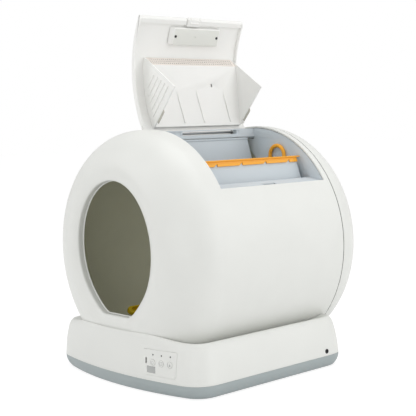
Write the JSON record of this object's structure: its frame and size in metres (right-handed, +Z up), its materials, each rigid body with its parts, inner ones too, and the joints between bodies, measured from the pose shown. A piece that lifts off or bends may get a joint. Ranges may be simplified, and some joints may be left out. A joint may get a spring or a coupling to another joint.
{
  "type": "self cleaning litter box",
  "caption": "Round drum litter box on a wide base, with a front entry, a hinged top lid over a lift-out waste bin, and an inner rake turned by a gear motor.",
  "frame": {"origin": "on the floor under the middle of the closed box", "axes": "+Z up, +Y to the back, +X to the right as seen from the entry"},
  "size_m": [0.52, 0.5386, 0.7825],
  "materials": {
    "white_shell": "satin",
    "lid_white": "satin",
    "grey_trim": "satin",
    "bay_grey": "satin",
    "pan_grey": "matte",
    "orange_plastic": "satin",
    "foot_rubber": "matte",
    "seal_rubber": "matte",
    "dark_plastic": "gloss",
    "steel": "satin",
    "board_green": "satin",
    "brass": "satin",
    "carbon": "matte"
  },
  "bodies": {
    "housing": {"drum_shell": "white_shell", "rear_cover": "white_shell", "rear_bulkhead": "grey_trim", "litter_pan": "pan_grey", "waste_bay": "bay_grey", "flap_pin": "steel", "lid_pin": "steel", "shaft_bearing": "brass", "motor_bracket": "steel", "gearmotor": "dark_plastic", "cover_screw_1": "steel", "cover_screw_2": "steel", "cover_screw_3": "steel", "cover_screw_4": "steel", "base_tray": "grey_trim", "base_cover": "white_shell", "control_panel": "white_shell", "status_light_1": "dark_plastic", "status_light_2": "dark_plastic", "status_light_3": "dark_plastic", "panel_window": "dark_plastic", "control_board": "board_green", "power_socket": "dark_plastic", "foot_front_left": "foot_rubber", "foot_front_right": "foot_rubber", "foot_rear_left": "foot_rubber", "foot_rear_right": "foot_rubber", "load_cell_front_left": "steel", "load_cell_front_right": "steel", "load_cell_rear_left": "steel", "load_cell_rear_right": "steel", "base_screw_front_left": "steel", "base_screw_front_right": "steel", "base_screw_rear_left": "steel", "base_screw_rear_right": "steel"},
    "lid": {"lid_shell": "lid_white", "lid_chute": "lid_white", "chute_seal_front": "seal_rubber", "chute_seal_rear": "seal_rubber", "filter_cover": "lid_white", "carbon_filter": "carbon", "filter_screw_front": "steel", "filter_screw_rear": "steel"},
    "latch": {"lid_latch": "lid_white"},
    "flap": {"waste_flap": "bay_grey"},
    "bin": {"waste_bin": "bay_grey", "comb_bar": "orange_plastic"},
    "rear_handle": {"bin_handle_rear": "orange_plastic"},
    "front_handle": {"bin_handle_front": "orange_plastic"},
    "rake_drive": {"rake": "orange_plastic", "drive_shaft": "steel", "drive_gear": "dark_plastic"},
    "motor_pinion": {"pinion": "brass"},
    "power_button": {"power_key": "white_shell"},
    "clean_button": {"clean_key": "white_shell"},
    "lock_button": {"lock_key": "white_shell"}
  },
  "joints": [
    {"name": "lid_hinge", "type": "hinge", "parent": "housing", "child": "lid", "pos_m": [-0.014, 0, 0.5222], "axis": [0, -1, 0], "range_deg": [-118, 0]},
    {"name": "latch_slide", "type": "slide", "parent": "lid", "child": "latch", "axis": [-0.5031, 0, -0.8642], "range_m": [0, 0.0025], "stiffness_N_per_m": 300},
    {"name": "flap_swing", "type": "hinge", "parent": "housing", "child": "flap", "pos_m": [0, 0, 0.5057], "axis": [0, 1, 0], "range_deg": [-40, 0]},
    {"name": "bin_lift", "type": "slide", "parent": "housing", "child": "bin", "axis": [0, 0, 1], "range_m": [0, 0.11]},
    {"name": "rear_handle_fold", "type": "hinge", "parent": "bin", "child": "rear_handle", "pos_m": [0.0835, 0.1578, 0.4582], "axis": [1, 0, 0], "range_deg": [0, 90]},
    {"name": "front_handle_fold", "type": "hinge", "parent": "bin", "child": "front_handle", "pos_m": [0.0835, -0.1299, 0.4582], "axis": [-1, 0, 0], "range_deg": [0, 90]},
    {"name": "rake_turn", "type": "hinge", "parent": "housing", "child": "rake_drive", "pos_m": [0, 0, 0.2735], "axis": [0, -1, 0], "range_deg": [-120, 110]},
    {"name": "pinion_spin", "type": "hinge", "parent": "housing", "child": "motor_pinion", "pos_m": [0, 0, 0.1991], "axis": [0, -1, 0], "range_deg": [-365, 365]},
    {"name": "power_key_press", "type": "slide", "parent": "housing", "child": "power_button", "axis": [0, 1, 0], "range_m": [0, 0.0012], "stiffness_N_per_m": 400},
    {"name": "clean_key_press", "type": "slide", "parent": "housing", "child": "clean_button", "axis": [0, 1, 0], "range_m": [0, 0.0012], "stiffness_N_per_m": 400},
    {"name": "lock_key_press", "type": "slide", "parent": "housing", "child": "lock_button", "axis": [0, 1, 0], "range_m": [0, 0.0012], "stiffness_N_per_m": 400}
  ],
  "couplings": [
    {"joint": "pinion_spin", "follows": "rake_turn", "ratio": -3}
  ]
}
